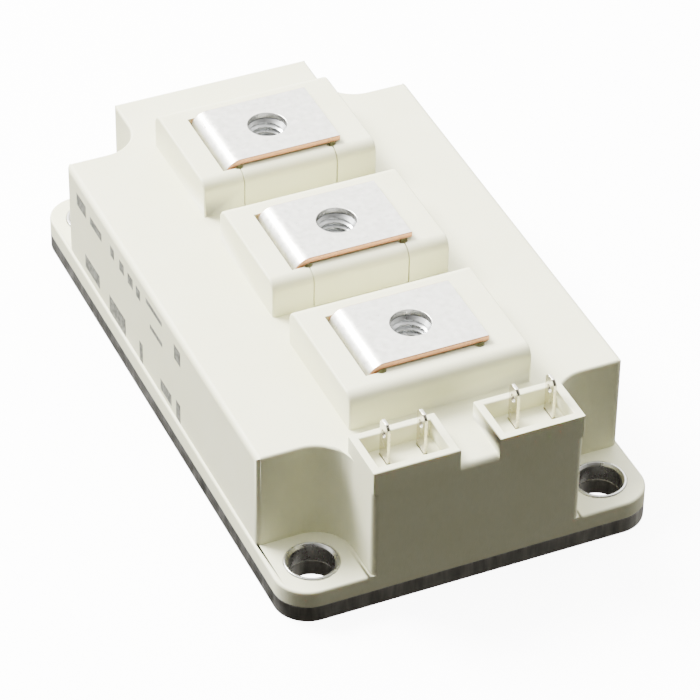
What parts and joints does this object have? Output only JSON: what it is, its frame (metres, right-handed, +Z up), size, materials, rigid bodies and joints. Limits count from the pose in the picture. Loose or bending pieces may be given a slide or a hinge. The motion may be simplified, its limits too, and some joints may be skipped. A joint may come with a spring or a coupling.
{
  "type": "igbt module",
  "caption": "Flat screw-down power module with a copper baseplate, ivory housing, screw terminals on raised blocks and blade signal tabs at one end.",
  "frame": {"origin": "centre of the baseplate's underside", "axes": "+X across the module, +Y along the row of main terminals away from the signal tabs, +Z up out of the mounting face"},
  "size_m": [0.0614, 0.1064, 0.0305],
  "materials": {
    "plated_baseplate": "nickel-plated copper plate, satin, darker at its sawn edge",
    "housing_plastic": "moulded ivory thermoplastic, fine matte texture",
    "adhesive": "cured silicone bead",
    "bushing_steel": "turned steel ring, bright chamfer",
    "nut_steel": "zinc-plated steel",
    "plated_copper": "nickel-plated copper strip with bare copper cut edges",
    "tab_brass": "tin-plated brass blade",
    "lead_insulation": "insulated lead",
    "bare_copper": "bare copper",
    "ceramic": "alumina ceramic",
    "chip_silicon": "silicon with metallised top",
    "bond_aluminium": "drawn aluminium wire"
  },
  "bodies": {
    "root": {"baseplate": "plated_baseplate", "housing": "housing_plastic", "adhesive_bead": "adhesive", "mounting_bushing_1": "bushing_steel", "mounting_bushing_2": "bushing_steel", "mounting_bushing_3": "bushing_steel", "mounting_bushing_4": "bushing_steel", "nut_carrier_1": "housing_plastic", "nut_carrier_2": "housing_plastic", "terminal_nut_1": "nut_steel", "terminal_nut_2": "nut_steel", "terminal_nut_3": "nut_steel", "main_terminal_1": "plated_copper", "main_terminal_2": "plated_copper", "main_terminal_3": "plated_copper", "signal_tab_1": "tab_brass", "signal_tab_2": "tab_brass", "signal_tab_3": "tab_brass", "signal_tab_4": "tab_brass", "signal_lead_1": "lead_insulation", "signal_lead_2": "lead_insulation", "signal_lead_3": "lead_insulation", "signal_lead_4": "lead_insulation", "base_copper_1": "bare_copper", "base_copper_2": "bare_copper", "ceramic_1": "ceramic", "ceramic_2": "ceramic", "circuit_copper_1": "bare_copper", "circuit_copper_2": "bare_copper", "igbt_chip_1": "chip_silicon", "igbt_chip_2": "chip_silicon", "igbt_chip_3": "chip_silicon", "igbt_chip_4": "chip_silicon", "diode_chip_1": "chip_silicon", "diode_chip_2": "chip_silicon", "diode_chip_3": "chip_silicon", "diode_chip_4": "chip_silicon", "bond_wires_1": "bond_aluminium", "bond_wires_2": "bond_aluminium", "phase_link_wires": "bond_aluminium"}
  },
  "joints": []
}
